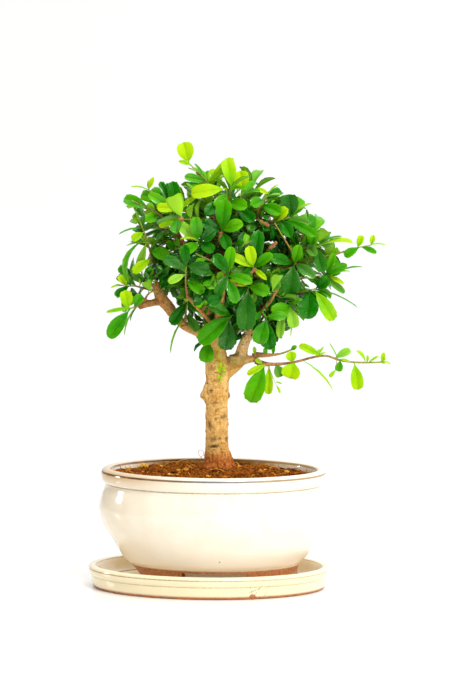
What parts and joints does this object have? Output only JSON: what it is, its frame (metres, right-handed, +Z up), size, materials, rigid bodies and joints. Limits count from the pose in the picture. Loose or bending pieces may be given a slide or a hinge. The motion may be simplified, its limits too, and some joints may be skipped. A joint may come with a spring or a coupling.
{
  "type": "potted bonsai tree",
  "caption": "Small fukien tea tree with a pale trunk and a leafy crown, planted in an oval cream-glazed pot that stands on a matching oval drip tray.",
  "frame": {"origin": "middle of the drip tray's flat underside", "axes": "+Z up along the trunk, +X along the pot's long side towards the low side branch, -Y towards the plant's front"},
  "size_m": [0.2139, 0.1379, 0.3176],
  "materials": {
    "tray_glaze": "gloss",
    "pot_glaze": "gloss",
    "potting_mix": "matte",
    "bark": "matte",
    "leaves": "satin"
  },
  "bodies": {
    "root": {"drip_tray": "tray_glaze", "pot": "pot_glaze", "shoot_bud_left": "leaves", "shoot_bud_right_top": "leaves", "shoot_centre_hang": "leaves", "shoot_dark_round": "leaves", "shoot_fill_01": "leaves", "shoot_fill_02": "leaves", "shoot_fill_03": "leaves", "shoot_fill_04": "leaves", "shoot_fill_05": "leaves", "shoot_fill_07": "leaves", "shoot_fill_08": "leaves", "shoot_fill_09": "leaves", "shoot_fill_10": "leaves", "shoot_fill_12": "leaves", "shoot_fill_13": "leaves", "shoot_fill_14": "leaves", "shoot_fill_15": "leaves", "shoot_fill_16": "leaves", "shoot_fill_17": "leaves", "shoot_fill_18": "leaves", "shoot_fill_19": "leaves", "shoot_fill_20": "leaves", "shoot_fill_21": "leaves", "shoot_fill_22": "leaves", "shoot_fill_23": "leaves", "shoot_fill_24": "leaves", "shoot_fork_front": "leaves", "shoot_fork_left": "leaves", "shoot_front_left_high": "leaves", "shoot_front_left_low": "leaves", "shoot_front_lime": "leaves", "shoot_front_middle": "leaves", "shoot_front_top": "leaves", "shoot_left_hang": "leaves", "shoot_left_inner": "leaves", "shoot_left_low": "leaves", "shoot_left_shoot": "leaves", "shoot_left_top_twig": "leaves", "shoot_low_twig_tip": "leaves", "shoot_low_twig_upper": "leaves", "shoot_right_bottom": "leaves", "shoot_right_hang": "leaves", "shoot_right_low": "leaves", "shoot_right_middle": "leaves", "shoot_right_tip": "leaves", "shoot_right_upper": "leaves", "shoot_top_front": "leaves", "shoot_top_left_cluster": "leaves", "shoot_top_right_leaf": "leaves", "shoot_top_sprig": "leaves", "shoot_trunk_front": "leaves", "soil": "potting_mix", "trunk_and_limbs": "bark"}
  },
  "joints": []
}
